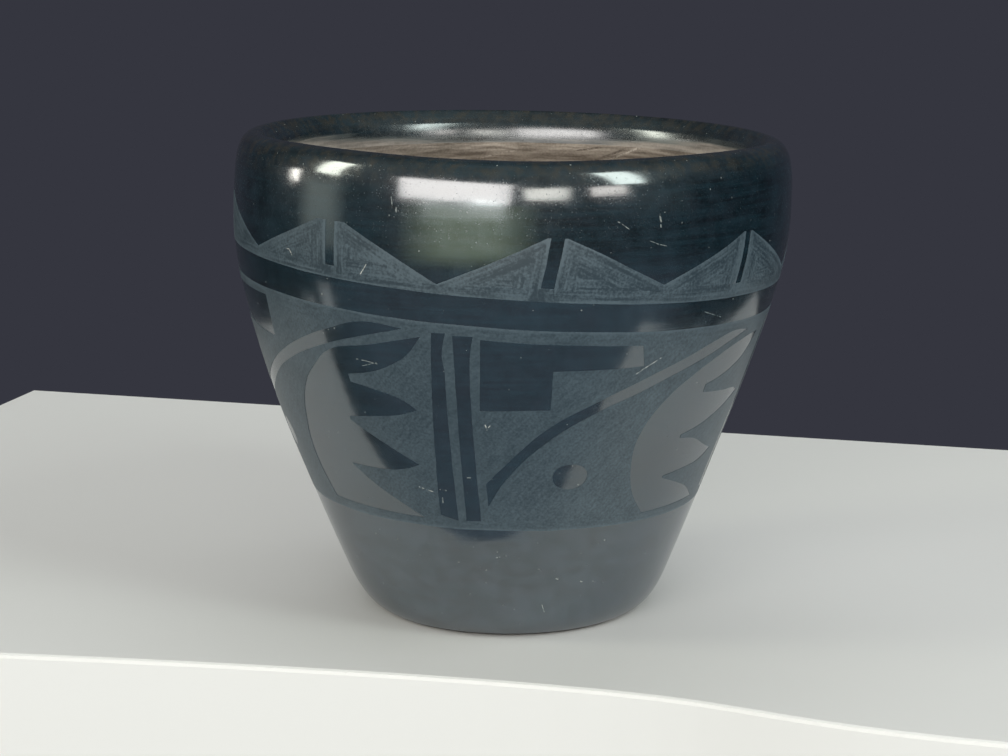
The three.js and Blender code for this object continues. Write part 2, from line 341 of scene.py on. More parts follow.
def mark_edge(bm):
    """Notes on each vertex how far it lies below the edge of the burnish, and how much its clay is
    darkened.

    Near that edge in the mouth the darkening is a smoke stain with painted shade; at the foot it is a
    painted contact shadow.
    """
    below = bm.verts.layers.float.new("below_edge")
    smoke_and_painted_shade = bm.verts.layers.float.new("smoke_and_painted_shade")
    for vert in bm.verts:
        vert[below] = below_edge(vert.co)
        # Painted contact shadow: the bare clay at the foot is darkened
        vert[smoke_and_painted_shade] = np.interp(vert.co.z, *PAINTED_FOOT_SHADOW)
        if vert[below] != NO_EDGE:
            # Smoke stain near the edge of the burnish, with painted shade that is stronger at the sides of
            # the mouth
            near = np.interp(vert[below], (0.0, SMOKE_AND_SHADE_REACH), (1.0, 0.0))
            vert[smoke_and_painted_shade] = near * np.interp(vert.co.x, *SMOKE_AND_SHADE_ACROSS)


# Clay courses

def base_slab(finish):
    """The pat of clay that the jar stands on: flat foot, rounded heel, upturned edge and a round basin."""
    basin_top = FLOOR_THICKNESS + BASIN_ROUND
    basin_edge = rising(RISING_INSIDE, basin_top)
    basin = along(
        Vector((basin_edge, basin_top)),
        Vector((basin_edge - BASIN_UPPER[0], FLOOR_THICKNESS + BASIN_UPPER[1])),
        Vector((basin_edge - BASIN_LOWER, FLOOR_THICKNESS)),
        Vector((basin_edge - BASIN_REACH, FLOOR_THICKNESS)),
        BASIN_STEPS,
    )
    outside_steps, inside_steps = SLAB_STEPS
    bare_foot = foot_run(FOOT_STEPS)[:COAT_FROM + 1]
    slab = [(radius, 0.0) for radius in FOOT_RINGS]
    slab += bare_foot
    slab += upright(RISING_CORE, bare_foot[-1][1] + COAT_THICKNESS, BASE_EDGE + LAP / 2, outside_steps)
    slab += upright(RISING_INSIDE, BASE_EDGE - LAP / 2, basin_top, inside_steps)[:-1]
    slab += basin
    slab += [(radius, FLOOR_THICKNESS) for radius in BASIN_RINGS]
    bm = lathe(slab, whole=False)
    mark_edge(bm)
    make_piece(bm, "base_slab", finish)


def wall_coils(finish):
    """Six coils, each lapping inside the upturned edge of the one below and pressed against it."""
    step = (RIM_SEAM - BASE_EDGE) / COIL_COUNT
    outside_steps, inside_steps = COIL_STEPS
    for course in range(COIL_COUNT):
        low = BASE_EDGE + course * step
        coil = upright(RISING_CORE, low + LAP / 2, low + step + LAP / 2, outside_steps)
        coil += upright(RISING_INSIDE, low + step - LAP / 2, low - LAP / 2, inside_steps)
        make_piece(lathe(coil, whole=True), f"wall_coil_{course + 1}", finish)


def rim_coil(finish):
    """The last coil, turned inwards and rounded over as the lip."""
    lip_steps, roll_steps, inside_steps = RIM_STEPS
    seam = RIM_SEAM + LAP / 2
    lip = inset(lip_run(lip_steps), COAT_THICKNESS)
    roll = inset(roll_run(roll_steps), COAT_THICKNESS)
    rim = [(rising(RISING_CORE, seam), seam)]
    rim += [tuple(spot) for spot in lip if spot[1] > seam + RIM_START_GAP]
    rim += [tuple(spot) for spot in roll[1:]]
    rim += upright(RISING_INSIDE, INNER_THROAT[1] - RIM_END_GAP, RIM_SEAM - LAP / 2, inside_steps)
    bm = lathe(rim, whole=True)
    mark_edge(bm)
    make_piece(bm, "rim_coil", finish)


# Burnished coat

def coat_line(wall_steps, lip_steps, roll_steps):
    """The line of the coat from just above the resting face, over the lip and down inside the mouth."""
    foot = foot_run(FOOT_STEPS)[COAT_FROM:]
    return foot + wall_run(wall_steps)[1:] + lip_run(lip_steps)[1:] + roll_run(roll_steps)[1:]


def burnished_coat(finish):
    """The polished slip over the whole outside, over the lip and down a band inside the mouth."""
    behind = inset(coat_line(*COAT_BACK_STEPS), COAT_THICKNESS)
    bm = lathe(coat_line(*COAT_STEPS) + [tuple(spot) for spot in behind[::-1]], whole=True)
    mark_edge(bm)
    make_piece(bm, "burnished_slip_coat", finish)


# Painted slips: figures are runs of (across, up) points in hundredths of a panel.
# Each run starts at a sharp corner and goes on through rounded bends; a lone run is round all the way.

LEFT_BAR = [
    [(1.6, 95.3)],
    [(4.7, 95.7), (3.9, 87.0), (4.2, 77.0), (4.35, 53.0)],
    [(4.4, 4.2)],
    [(-1.0, 6.5), (0.55, 53.0)],
]
RIGHT_BAR = [
    [(6.3, 94.7)],
    [(10.75, 95.2), (10.2, 87.0), (10.05, 75.0), (10.35, 53.0)],
    [(11.2, 4.4)],
    [(6.8, 4.3), (6.8, 53.0)],
]
DOT = [[(36.2, 34.7), (41.2, 28.0), (36.2, 21.3), (31.2, 28.0)]]

STEP_BLOCK_B = [
    [(12.4, 94.0)], [(49.8, 93.4)], [(51.2, 82.8)],
    [(28.9, 80.8)], [(29.2, 62.1)], [(12.3, 60.2)],
]
STRIPE_B = [
    [
        (13.2, 24.0), (18.9, 34.9), (30.0, 54.4), (41.1, 66.4),
        (52.2, 76.5), (63.3, 85.4), (74.4, 93.3), (80.0, 95.5),
    ],
    [
        (86.7, 94.2), (80.0, 90.6), (74.4, 86.8), (63.3, 79.1),
        (52.2, 70.2), (41.1, 60.7), (30.0, 47.4), (18.9, 26.9),
    ],
    [(13.6, 12.2)],
]
FAN_B = [
    [
        (95.0, 90.9), (85.6, 89.4), (74.4, 82.6), (67.8, 76.1),
        (58.9, 62.1), (54.6, 47.4), (54.0, 37.5), (56.9, 17.7),
    ],
    [(63.3, 4.2)],
    [(91.3, 4.4), (83.0, 12.4), (76.7, 16.6)],
    [(68.2, 21.5)],
    [(68.0, 22.7), (77.8, 24.5), (85.6, 25.9)],
    [(91.9, 30.0), (85.6, 33.8), (76.7, 40.3)],
    [(70.3, 42.2)],
    [(70.3, 43.9), (77.8, 46.9), (85.6, 51.2), (90.8, 54.8)],
    [(96.4, 59.4), (92.7, 61.8), (85.6, 62.9)],
    [(74.1, 65.3)],
    [(74.1, 69.2), (77.8, 70.6), (85.6, 75.5), (90.0, 79.6), (93.6, 86.7)],
]

STEP_BLOCK_A = [
    [(13.3, 95.0)], [(52.8, 96.6)], [(52.8, 77.9)],
    [(29.4, 80.0)], [(29.4, 62.8)], [(13.0, 61.3)],
]
STRIPE_A = [
    [
        (13.0, 22.0), (18.9, 32.0), (30.0, 48.5), (41.1, 59.1),
        (52.2, 70.0), (63.3, 80.1), (74.4, 89.0), (85.6, 96.2),
    ],
    [
        (95.2, 95.6), (85.6, 89.9), (74.4, 82.6), (63.3, 74.4),
        (52.2, 64.8), (41.1, 52.8), (30.0, 41.5), (18.9, 24.0),
    ],
    [(13.0, 12.0)],
]
FAN_A = [
    [
        (99.1, 92.9), (85.6, 85.5), (74.4, 79.7), (66.7, 68.5),
        (60.6, 56.1), (57.0, 42.1), (54.8, 27.4), (55.7, 14.6),
    ],
    [(58.0, 4.6)],
    [(94.0, 3.9), (85.6, 11.5), (79.0, 17.7)],
    [(72.9, 24.6)],
    [(72.4, 25.7), (85.6, 26.3), (90.3, 27.8)],
    [(95.2, 30.8), (89.9, 35.7), (81.1, 43.4)],
    [(76.4, 47.6)],
    [(76.4, 49.3), (85.6, 52.2), (92.4, 54.7)],
    [(96.9, 57.8), (92.4, 62.4), (85.6, 65.1)],
    [(79.3, 66.6)],
    [(79.0, 69.9), (85.6, 73.0), (91.4, 78.0), (95.6, 83.6)],
]
PANEL_A = [LEFT_BAR, RIGHT_BAR, DOT, STEP_BLOCK_A, STRIPE_A, FAN_A]
PANEL_B = [LEFT_BAR, RIGHT_BAR, DOT, STEP_BLOCK_B, STRIPE_B, FAN_B]

# Mountains from left to right: the valley before each, its two peaks and its slit, as degrees and heights.
# Of a slit, half its width and how far its foot lies aside of its top are given, both in degrees.
VALLEYS = [(-60.0, 131.0), (-14.2, 130.0), (30.0, 132.8), (75.0, 132.0)]
VALLEYS += [(120.0, 131.6), (165.0, 131.0), (210.0, 132.0), (255.0, 131.4)]
PEAKS = [(-40.0, -33.5), (6.3, 10.0), (50.6, 53.5), (94.4, 100.2)]
PEAKS += [(139.2, 145.6), (184.6, 190.4), (229.4, 235.4), (274.4, 280.2)]
SLITS = [(1.05, -0.2), (1.25, -1.6), (0.9, -1.4), (1.2, -1.2)]
SLITS += [(1.15, -0.9), (1.25, -1.5), (1.1, -0.8), (1.2, -1.1)]
SLIT_FOOT = 131.2

# One degree of the flat drawing in millimetres, at the middle radius of the wall
MIDDLE_RADIUS = 85.0
DEGREE = math.radians(1) * MIDDLE_RADIUS


def painted_height(angle, height):
    """The height at which a level of the painting runs, since the bands lean down to the right."""
    levels = (PANEL_FOOT, BAND_FOOT, PEAK_LEVEL)
    lean = float(np.interp(height, levels, (LEAN_AT_FOOT, LEAN_AT_BAND, LEAN_AT_PEAK)))
    lift = float(np.interp(height, levels, (0.0, LIFT_AT_SIDES, 0.0)))
    return height - lean * math.sin(angle) + lift * math.sin(angle) ** 4


def draw(drawing, runs):
    """Adds a closed outline to a flat drawing; its points are degrees and heights."""
    knots = [(spot, index == 0 and len(runs) > 1) for run in runs for index, spot in enumerate(run)]
    spline = drawing.splines.new("BEZIER")
    spline.bezier_points.add(len(knots) - 1)
    spline.use_cyclic_u = True
    for knot, ((across, up), sharp) in zip(spline.bezier_points, knots):
        knot.co = (across * DEGREE, up, 0)
        knot.handle_left_type = "VECTOR" if sharp else "AUTO"
        knot.handle_right_type = "VECTOR" if sharp else "AUTO"


def filled(drawing):
    """The flat drawing as a filled sheet."""
    drawing.dimensions = "2D"
    drawing.fill_mode = "BOTH"
    drawing.resolution_u = CURVE_STEPS
    board = bpy.data.objects.new("drawing", drawing)
    bpy.context.scene.collection.objects.link(board)
    bpy.context.view_layer.update()
    flat = bpy.data.meshes.new_from_object(board.evaluated_get(bpy.context.evaluated_depsgraph_get()))
    bpy.data.objects.remove(board)
    bm = bmesh.new()
    bm.from_mesh(flat)
    bpy.data.meshes.remove(flat)
    bpy.data.curves.remove(drawing)
    bmesh.ops.remove_doubles(bm, verts=bm.verts, dist=MERGE_GAP)
    return bm


def cut_across(bm, start, stop, step, axis):
    """Cuts a flat sheet at even steps along one axis, so that it can follow the wall."""
    for place in np.arange(start + step, stop - step / 2, step):
        spot = [0, 0, 0]
        square = [0, 0, 0]
        spot[axis] = place
        square[axis] = 1
        bmesh.ops.bisect_plane(
            bm,
            geom=bm.verts[:] + bm.edges[:] + bm.faces[:],
            dist=MERGE_GAP / 2,
            plane_co=spot,
            plane_no=square,
        )


def panel_line(middle):
    """The line a brush stroke follows in the panels: their top or foot where it is near, else a slant."""
    edge = PANEL_TOP if middle.y > (PANEL_TOP + PANEL_FOOT) / 2 else PANEL_FOOT
    if abs(middle.y - edge) < ROW_STEP:
        return Vector((0, edge)), Vector((1, 0))
    return Vector((0, PANEL_FOOT - SLANT_FROM)), Vector(STROKE_SLANT)


def mountain_line(middle):
    """The edge of its half mountain that a place is nearest to: slope, slit or foot."""
    turn = middle.x / DEGREE
    index = max(i for i, valley in enumerate(VALLEYS) if i == 0 or valley[0] <= turn)
    west, east = PEAKS[index]
    half, lean = SLITS[index]
    first = VALLEYS[0]
    after = VALLEYS[index + 1] if index + 1 < len(VALLEYS) else (first[0] + FULL_TURN, first[1])
    on_west = turn < (west + east) / 2
    valley, peak = (VALLEYS[index], west) if on_west else (after, east)
    slit = (west + east) / 2 + (-half if on_west else half)
    ends = [
        ((valley[0], valley[1]), (peak, PEAK_LEVEL)),
        ((slit + lean, SLIT_FOOT), (slit, PEAK_LEVEL)),
        ((valley[0], BAND_FOOT), (peak, BAND_FOOT)),
    ]
    lines = []
    for low, high in ends:
        foot = Vector((low[0] * DEGREE, low[1]))
        lines.append((foot, (Vector((high[0] * DEGREE, high[1])) - foot).normalized()))
    return min(lines, key=lambda line: abs((middle.xy - line[0]).cross(line[1])))


def map_strokes(bm, line_near, shorter):
    """Gives a flat drawing a map, in metres, that runs along the brush strokes and away from their edge."""
    strokes = bm.loops.layers.uv.new("strokes")
    for face in bm.faces:
        start, way = line_near(face.calc_center_median())
        for loop in face.loops:
            spot = loop.vert.co.xy
            away = abs((spot - start).cross(way))
            loop[strokes].uv = Vector((spot.dot(way) * shorter, away)) * MM


def wrapped(bm, start):
    """Thickens a flat sheet that is one turn long and bends it round the wall, with its ends joined.

    The flat sheet is given a thickness of one, and the slope of the wall is taken over one millimetre.
    """
    end = start + FULL_TURN
    raised = bmesh.ops.extrude_face_region(bm, geom=bm.faces[:])["geom"]
    bmesh.ops.translate(bm, vec=(0, 0, 1), verts=verts_in(raised))
    edges_of_turn = (start * DEGREE, end * DEGREE)
    ends = [
        face for face in bm.faces
        if any(all(abs(vert.co.x - edge) < TURN_GAP for vert in face.verts) for edge in edges_of_turn)
    ]
    bmesh.ops.delete(bm, geom=ends, context="FACES")
    for vert in bm.verts:
        angle = math.radians(vert.co.x / DEGREE)
        x, y = math.sin(angle) * WAVER_RADIUS, -math.cos(angle) * WAVER_RADIUS
        waver_spot = Vector((x, y, vert.co.y / WAVER_HEIGHT))
        angle += math.radians(WAVER_ASIDE) * noise.noise(waver_spot * ASIDE_QUICKER)
        level = painted_height(angle, vert.co.y + WAVER_UP * noise.noise(waver_spot))
        proud = SLIP_PROUD if vert.co.z > 0.5 else -SLIP_BURIED
        slope = rising(RISING_OUTSIDE, level + 0.5) - rising(RISING_OUTSIDE, level - 0.5)
        square = Vector((1.0, -slope)).normalized()
        radius = rising(RISING_OUTSIDE, level) + proud * square.x
        height = level + proud * square.y
        vert.co = hand_shaped((radius * math.sin(angle), -radius * math.cos(angle), height))
    bmesh.ops.remove_doubles(bm, verts=bm.verts, dist=2 * MERGE_GAP)
    bmesh.ops.recalc_face_normals(bm, faces=bm.faces)
    return bm


def placed(figure, left):
    """The runs of a figure, turned from hundredths of a panel into degrees and heights."""
    tall = PANEL_TOP - PANEL_FOOT
    return [
        [(left + PANEL_WIDTH * across / 100, PANEL_FOOT + tall * up / 100) for across, up in run]
        for run in figure
    ]


def painted_panels(finish):
    """The ground of four panels, with the bars, step blocks, stripes, dots and feather fans left open."""
    drawing = bpy.data.curves.new("panels", "CURVE")
    end = FIRST_PANEL + FULL_TURN
    draw(drawing, [
        [(FIRST_PANEL, PANEL_FOOT)],
        [(end, PANEL_FOOT)],
        [(end, PANEL_TOP)],
        [(FIRST_PANEL, PANEL_TOP)],
    ])
    for panel, figures in enumerate((PANEL_A, PANEL_B, PANEL_A, PANEL_B)):
        for figure in figures:
            draw(drawing, placed(figure, FIRST_PANEL + panel * PANEL_WIDTH))
    bm = filled(drawing)
    cut_across(bm, FIRST_PANEL * DEGREE, end * DEGREE, COLUMN_STEP * DEGREE, 0)
    cut_across(bm, PANEL_FOOT, PANEL_TOP, ROW_STEP, 1)
    map_strokes(bm, panel_line, PANEL_STROKES)
    make_piece(wrapped(bm, FIRST_PANEL), "matte_slip_panels", finish)


def painted_mountains(finish):
    """The ring of mountains on the shoulder, each parted by a slit."""
    drawing = bpy.data.curves.new("mountains", "CURVE")
    first = VALLEYS[0][0]
    end = first + FULL_TURN
    outline = [[(first, BAND_FOOT)], [(end, BAND_FOOT)], [(end, VALLEYS[0][1])]]
    for valley, (west, east), (half, lean) in reversed(list(zip(VALLEYS, PEAKS, SLITS))):
        middle = (west + east) / 2
        outline += [
            [(east, PEAK_LEVEL)],
            [(middle + half, PEAK_LEVEL)],
            [(middle + half + lean, SLIT_FOOT)],
            [(middle - half + lean, SLIT_FOOT)],
            [(middle - half, PEAK_LEVEL)],
            [(west, PEAK_LEVEL)],
            [valley],
        ]
    draw(drawing, outline)
    bm = filled(drawing)
    cut_across(bm, first * DEGREE, end * DEGREE, COLUMN_STEP * DEGREE, 0)
    cut_across(bm, BAND_FOOT, PEAK_LEVEL, ROW_STEP, 1)
    map_strokes(bm, mountain_line, MOUNTAIN_STROKES)
    make_piece(wrapped(bm, first), "matte_slip_mountains", finish)


# Finishes

# Sizes of the patterns, in millimetres. The grains, pits and temper of a real jar are too fine to show,
# so they are drawn as coarse as they need to be.
STONE_STROKE = (30.0, 30.0, 1.2)
STONE_FACET = (34.0, 34.0, 9.0)
SMOKE_CLOUD = 40.0
SLIP_MOTTLE = 7.0
SLIP_GRAIN = 0.6
SMUDGE = 6.0
RUBBED_PATCH = 3.5
SPECK_SPACING = 1.9
PIT_SPACING = 0.5
BROKEN_MARK = 0.9
BRUSH_STROKE = (28.0, 1.1)
MATTE_CLOUD = 11.0
MATTE_GRAIN = 0.8
SCRAPE_LINE = (13.0, 13.0, 1.2)
CLAY_STAIN = 16.0
CLAY_TEMPER = 0.9

# Relief of the patterns, in millimetres, and the slant of the scrape lines in degrees
FACET_RELIEF = 0.1
STROKE_RELIEF = 0.007
PIT_RELIEF = 0.007
BRUSH_RELIEF = 0.035
SCRAPE_RELIEF = 0.4
SCRAPE_SLANT = -14.0

# Heights between which the smudges, the rubbed lip, the pits and the bolder brush strokes set in
SMUDGED = (50.0, 42.0)
RUBBED = (161.0, 168.0)
PITTED = (125.0, 150.0)
BOLD_STROKES = (119.0, 124.0)

# Distances below the edge of the burnish between which it turns softer, thins out and ends, and how
# far the strokes of the stone make that edge ragged
SOFTER = (-18.0, -9.0)
THINNED = (-2.5, 0.0)
ENDED = (-0.7, 0.9)
RAGGED = 2.4

# Paler first stroke along an edge of the painting: where it ends and where it is full
EDGE_STROKE = (0.9, 0.4)


def linear(code):
    """An sRGB hex colour as linear red, green, blue and a full alpha."""
    parts = [int(code[place:place + 2], 16) / 255 for place in (1, 3, 5)]
    return [part / 12.92 if part <= 0.04045 else ((part + 0.055) / 1.055) ** 2.4 for part in parts] + [1.0]


def add(tree, kind, settings, inputs):
    """Adds a node with its settings; an input is a plain value or the output of another node."""
    made = tree.nodes.new("ShaderNode" + kind)
    for name, value in settings.items():
        setattr(made, name, value)
    for key, value in inputs.items():
        if isinstance(value, bpy.types.NodeSocket):
            tree.links.new(value, made.inputs[key])
        else:
            made.inputs[key].default_value = value
    return made


def each(size):
    """Repeats in a metre of a pattern whose size is given in millimetres."""
    return 1 / (size * MM)


def new_finish(name):
    """An empty material and its node tree."""
    finish = bpy.data.materials.new(name)
    finish.use_nodes = True
    finish.node_tree.nodes.clear()
    return finish, finish.node_tree


# Scratches and chips on the front; inside at the back, painted shade in gouges and painted highlight on
# ridges of scraping.
# Each is a line from one (x, height) to another, seen straight from the front, with its width.
# A mark fades between two shares of its width.
MARK_FADE = (0.45, 0.1)
SCRATCHES = [
    ((47.6, 152.6), (48.0, 150.4), 0.8),
    ((47.9, 149.4), (48.0, 148.7), 0.5),
    ((34.1, 151.2), (35.2, 150.5), 0.6),
    ((35.2, 150.5), (37.6, 148.7), 0.3),
    ((44.5, 144.5), (47.1, 143.3), 0.3),
    ((47.1, 143.3), (49.8, 142.5), 0.4),
    ((-37.3, 158.7), (-37.0, 155.9), 0.35),
    ((-35.8, 155.3), (-35.8, 154.1), 0.5),
    ((63.9, 118.5), (69.8, 115.6), 0.3),
    ((43.0, 100.9), (49.3, 104.4), 0.4),
    ((41.1, 99.7), (42.7, 100.6), 0.3),
    ((-49.9, 104.0), (-46.6, 103.7), 0.4),
    ((-46.6, 103.7), (-42.9, 103.1), 0.35),
    ((-48.0, 101.8), (-43.2, 103.5), 0.3),
    ((-7.9, 83.8), (-7.3, 82.0), 0.5),
    ((-7.0, 82.7), (-6.3, 83.5), 0.4),
    ((-30.0, 59.4), (-25.3, 58.0), 0.4),
    ((-23.0, 59.0), (-21.0, 58.8), 0.6),
    ((-22.3, 56.4), (-22.1, 54.1), 0.5),
    ((-13.9, 64.1), (-12.6, 64.2), 0.5),
    ((-73.2, 138.6), (-72.1, 138.5), 0.4),
    ((-72.1, 138.5), (-71.1, 136.7), 0.35),
    ((-45.4, 137.2), (-47.7, 133.3), 0.4),
    ((-4.4, 33.6), (-3.3, 33.8), 0.6),
    ((-1.9, 34.0), (-1.2, 34.3), 0.8),
    ((10.0, 28.8), (10.6, 28.2), 0.4),
    ((15.9, 24.6), (16.5, 24.2), 0.6),
    ((24.3, 22.4), (24.9, 22.1), 0.6),
    ((28.6, 21.7), (29.4, 21.3), 0.5),
    ((11.2, 14.2), (12.0, 11.2), 0.35),
]
GOUGES = [
    ((34.1, 151.0), (44.5, 156.3), 1.6),
    ((27.1, 155.0), (35.5, 156.6), 1.2),
]
# Ridges of scraping, which are only painted paler, as a painted highlight
PAINTED_RIDGE_HIGHLIGHTS = [
    ((37.7, 151.0), (51.0, 158.0), 1.3),
    ((-12.0, 151.5), (2.0, 154.6), 1.1),
]


def marked(tree, spot, marks, side):
    """Where the marks lie, from 0 to 1; the side is -1 for the front of the jar and 1 for its back."""
    flat = add(tree, "VectorMath", {"operation": "MULTIPLY"}, {0: spot, 1: (1, 0, 1)}).outputs[0]
    depth = add(tree, "VectorMath", {"operation": "DOT_PRODUCT"}, {0: spot, 1: (0, side, 0)})
    total = 0.0
    for (x, height), (end_x, end_height), width in marks:
        start = (x * MM, 0, height * MM)
        run = Vector((end_x - x, 0, end_height - height)) * MM
        share_of_run = run / run.length_squared
        offset = add(tree, "VectorMath", {"operation": "SUBTRACT"}, {0: flat, 1: start}).outputs[0]
        reach = add(tree, "VectorMath", {"operation": "DOT_PRODUCT"}, {0: offset, 1: share_of_run})
        share = add(tree, "Clamp", {}, {0: reach.outputs["Value"]})
        nearest = add(tree, "VectorMath", {"operation": "SCALE"}, {0: run, "Scale": share.outputs[0]})
        gap = add(tree, "VectorMath", {"operation": "DISTANCE"}, {0: offset, 1: nearest.outputs[0]})
        edge, core = [share_of_width * width * MM for share_of_width in MARK_FADE]
        line = add(
            tree, "MapRange", {}, {"Value": gap.outputs["Value"], "From Min": edge, "From Max": core},
        )
        total = add(tree, "Math", {"operation": "MAXIMUM"}, {0: total, 1: line.outputs[0]}).outputs[0]
    broken = add(tree, "TexNoise", {}, {"Vector": spot, "Scale": each(BROKEN_MARK), "Detail": 1.0})
    left_over = add(
        tree, "MapRange", {}, {"Value": broken.outputs["Fac"], "From Min": 0.38, "From Max": 0.58},
    )
    shown = add(tree, "Math", {"operation": "GREATER_THAN"}, {0: depth.outputs["Value"], 1: 0.0})
    part = add(tree, "Math", {"operation": "MULTIPLY"}, {0: total, 1: left_over.outputs[0]})
    on_side = add(tree, "Math", {"operation": "MULTIPLY"}, {0: part.outputs[0], 1: shown.outputs[0]})
    return on_side.outputs[0]


def clay_tone(tree, spot):
    """Colour and relief of scraped clay: slanted lines, cloudy stains, grains of temper, and smoke stain
    with painted shade.
    """
    slant = (0, math.radians(SCRAPE_SLANT), 0)
    scrape_size = [each(size) for size in SCRAPE_LINE]
    scrape_space = add(tree, "Mapping", {}, {"Vector": spot, "Rotation": slant, "Scale": scrape_size})
    scrape = add(tree, "TexNoise", {}, {"Vector": scrape_space.outputs[0], "Scale": 1.0, "Detail": 4.0})
    stain = add(tree, "TexNoise", {}, {"Vector": spot, "Scale": each(CLAY_STAIN), "Detail": 3.0})
    temper = add(tree, "TexNoise", {}, {"Vector": spot, "Scale": each(CLAY_TEMPER), "Detail": 2.0})
    cloudy = add(tree, "Mix", {}, {0: 0.25, 2: scrape.outputs["Fac"], 3: stain.outputs["Fac"]})
    mixed = add(tree, "Mix", {}, {0: 0.2, 2: cloudy.outputs[0], 3: temper.outputs["Fac"]})
    spread = add(tree, "MapRange", {}, {"Value": mixed.outputs[0], "From Min": 0.39, "From Max": 0.61})
    colour = add(
        tree, "Mix", {"data_type": "RGBA"},
        {0: spread.outputs[0], 6: linear("#7d746a"), 7: linear("#c0b6ab")},
    )
    # Darkened towards near-black by a smoke stain with painted shade in the mouth, and by a painted contact
    # shadow at the foot
    smoke_and_painted_shade = add(tree, "Attribute", {"attribute_name": "smoke_and_painted_shade"}, {}).outputs["Fac"]
    stained_and_shaded = add(tree, "Mix", {"data_type": "RGBA"}, {0: smoke_and_painted_shade, 6: colour.outputs[2], 7: linear("#2a2825")})
    return stained_and_shaded.outputs[2], mixed.outputs[0]


def smudges(tree, spot, height):
    """Dull smudges, which show most below the painting."""
    dulled = add(
        tree, "TexNoise", {},
        {"Vector": spot, "Scale": each(SMUDGE), "Detail": 4.0, "Roughness": 0.55},
    )
    cover = add(tree, "MapRange", {}, {"Value": dulled.outputs["Fac"], "From Min": 0.36, "From Max": 0.66})
    start, full = [place * MM for place in SMUDGED]
    lower = add(
        tree, "MapRange", {},
        {"Value": height, "From Min": start, "From Max": full, "To Min": 0.12, "To Max": 0.38},
    )
    smudge = add(tree, "Math", {"operation": "MULTIPLY"}, {0: cover.outputs[0], 1: lower.outputs[0]})
    return smudge.outputs[0]


def rubbed_lip(tree, spot, height):
    """Brown patches where hands have rubbed the lip."""
    start, full = [place * MM for place in RUBBED]
    rubbed = add(tree, "MapRange", {}, {"Value": height, "From Min": start, "From Max": full})
    patches = add(
        tree, "TexNoise", {},
        {"Vector": spot, "Scale": each(RUBBED_PATCH), "Detail": 4.0, "Roughness": 0.6},
    )
    patchy = add(
        tree, "MapRange", {},
        {"Value": patches.outputs["Fac"], "From Min": 0.44, "From Max": 0.64, "To Max": 0.75},
    )
    brown = add(tree, "Math", {"operation": "MULTIPLY"}, {0: rubbed.outputs[0], 1: patchy.outputs[0]})
    return brown.outputs[0]


def pale_specks(tree, spot, grain):
    """Specks of many sizes with uneven edges: most are small, and many are faint."""
    dust = add(tree, "TexVoronoi", {}, {"Vector": spot, "Scale": each(SPECK_SPACING)})
    lot = add(tree, "SeparateColor", {}, {"Color": dust.outputs["Color"]})
    size = add(tree, "Math", {"operation": "POWER"}, {0: lot.outputs[0], 1: 2.0})
    uneven = add(tree, "Math", {"operation": "MULTIPLY_ADD"}, {0: grain, 1: 0.12, 2: -0.06})
    edge = add(
        tree, "Math", {"operation": "MULTIPLY_ADD"}, {0: size.outputs[0], 1: 0.17, 2: uneven.outputs[0]},
    )
    inside = add(
        tree, "Math", {"operation": "SUBTRACT"}, {0: edge.outputs[0], 1: dust.outputs["Distance"]},
    )
    near = add(tree, "MapRange", {}, {"Value": inside.outputs[0], "From Max": 0.04})
    faint = add(tree, "Math", {"operation": "MULTIPLY"}, {0: lot.outputs[1], 1: lot.outputs[2]})
    speck = add(tree, "Math", {"operation": "MULTIPLY"}, {0: near.outputs[0], 1: faint.outputs[0]})
    return speck.outputs[0]


def fine_pits(tree, spot, height):
    """Fine pits where grit has come out of the slip, which show most on the shoulder."""
    start, full = [place * MM for place in PITTED]
    upper = add(
        tree, "MapRange", {},
        {"Value": height, "From Min": start, "From Max": full, "To Min": 0.13, "To Max": 0.55},
    )
    grit = add(tree, "TexVoronoi", {}, {"Vector": spot, "Scale": each(PIT_SPACING)})
    lot = add(tree, "SeparateColor", {}, {"Color": grit.outputs["Color"]})
    size = add(tree, "Math", {"operation": "MULTIPLY"}, {0: lot.outputs[0], 1: 0.5})
    inside = add(
        tree, "Math", {"operation": "SUBTRACT"}, {0: size.outputs[0], 1: grit.outputs["Distance"]},
    )
    near = add(tree, "MapRange", {}, {"Value": inside.outputs[0], "From Max": 0.15})
    depth = add(tree, "Math", {"operation": "MULTIPLY"}, {0: near.outputs[0], 1: lot.outputs[1]})
    pit = add(tree, "Math", {"operation": "MULTIPLY"}, {0: depth.outputs[0], 1: upper.outputs[0]})
    return pit.outputs[0]


